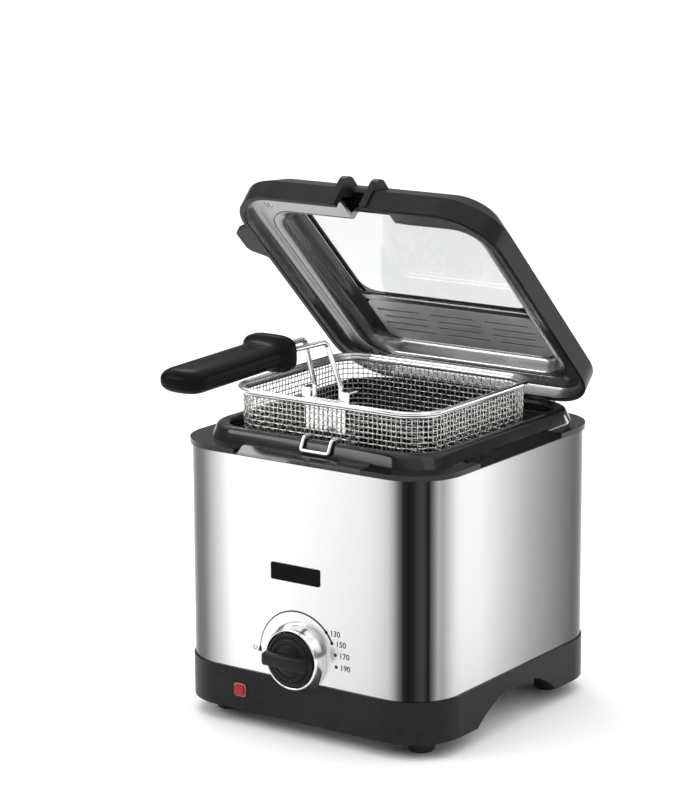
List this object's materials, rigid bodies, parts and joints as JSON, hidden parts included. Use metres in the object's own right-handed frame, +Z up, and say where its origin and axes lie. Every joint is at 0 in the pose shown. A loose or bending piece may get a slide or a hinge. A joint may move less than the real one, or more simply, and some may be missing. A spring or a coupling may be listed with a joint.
{
  "type": "deep fryer",
  "caption": "Compact deep fryer with a steel body, hinged windowed lid, lifting wire basket with a long grip, and a front temperature knob.",
  "frame": {"origin": "centre of the four feet, on the surface that they stand on", "axes": "+Z up, -Y towards the knob and the basket's grip, +X to the right of somebody facing the knob"},
  "size_m": [0.2212, 0.3486, 0.3615],
  "materials": {
    "black_plastic": "satin moulded black phenolic",
    "matte_black": "fine-grained matte black plastic",
    "steel_shell": "polished stainless sheet with a faint vertical brush",
    "sheet_steel": "plain galvanised sheet",
    "chrome_wire": "bright nickel-plated wire and sheet",
    "fastener": "zinc-plated",
    "nonstick": "dark non-stick coating",
    "rubber": "matte",
    "glass": "clear tempered glass",
    "gasket": "matte silicone",
    "heater": "dull sheathed element",
    "ceramic": "off-white moulding",
    "copper": "drawn copper capillary",
    "wire_sleeve": "heat-proof sleeve",
    "red_lens": "translucent red",
    "lamp_rim": "pale moulding",
    "liner": "smooth dark-grey anodised sheet",
    "mesh": "woven wire",
    "filter_felt": "pressed metal wool"
  },
  "bodies": {
    "housing": {"base_skirt": "black_plastic", "bottom_plate": "sheet_steel", "rubber_feet": "rubber", "foot_screws": "fastener", "steel_wrap": "steel_shell", "tie_bolts": "fastener", "top_collar": "black_plastic", "rim_ring": "black_plastic", "oil_pot": "nonstick", "drain_hook": "chrome_wire", "heating_element": "heater", "element_clamps": "sheet_steel", "heat_shield": "sheet_steel", "thermal_cutout": "ceramic", "thermostat_body": "ceramic", "thermostat_bracket": "sheet_steel", "capillary_tube": "copper", "terminal_block": "ceramic", "wiring": "wire_sleeve", "cord_gland": "matte_black", "knob_bezel": "chrome_wire", "lamp_bezel": "lamp_rim", "lamp_lens": "red_lens", "lamp_body": "ceramic", "name_plate": "matte_black", "hinge_pins": "fastener"},
    "knob": {"thermostat_shaft": "fastener", "control_knob": "black_plastic"},
    "lid": {"lid_shell": "black_plastic", "lid_inner_frame": "liner", "window_glass": "glass", "window_gasket": "gasket", "filter_cover": "chrome_wire", "filter_pad": "filter_felt", "lid_screws": "fastener", "hinge_knuckles": "black_plastic"},
    "basket": {"basket_mesh": "mesh", "basket_rim": "chrome_wire", "basket_floor_wires": "chrome_wire", "basket_bracket": "chrome_wire", "handle_wires": "chrome_wire", "grip_upper": "black_plastic", "grip_lower": "black_plastic", "grip_screws": "fastener"}
  },
  "joints": [
    {"name": "lid_hinge", "type": "hinge", "parent": "housing", "child": "lid", "pos_m": [0, 0.112, 0.194], "axis": [-1, 0, 0], "range_deg": [-44.2, 50]},
    {"name": "basket_lift", "type": "slide", "parent": "housing", "child": "basket", "axis": [0, 0, 1], "range_m": [-0.058, 0.0657]},
    {"name": "knob_turn", "type": "hinge", "parent": "housing", "child": "knob", "pos_m": [0, -0.106, 0.056], "axis": [0, 1, 0], "range_deg": [0, 195]}
  ],
  "couplings": [
    {"joint": "basket_lift", "follows": "lid_hinge", "m_per_rad": 0.075185}
  ]
}
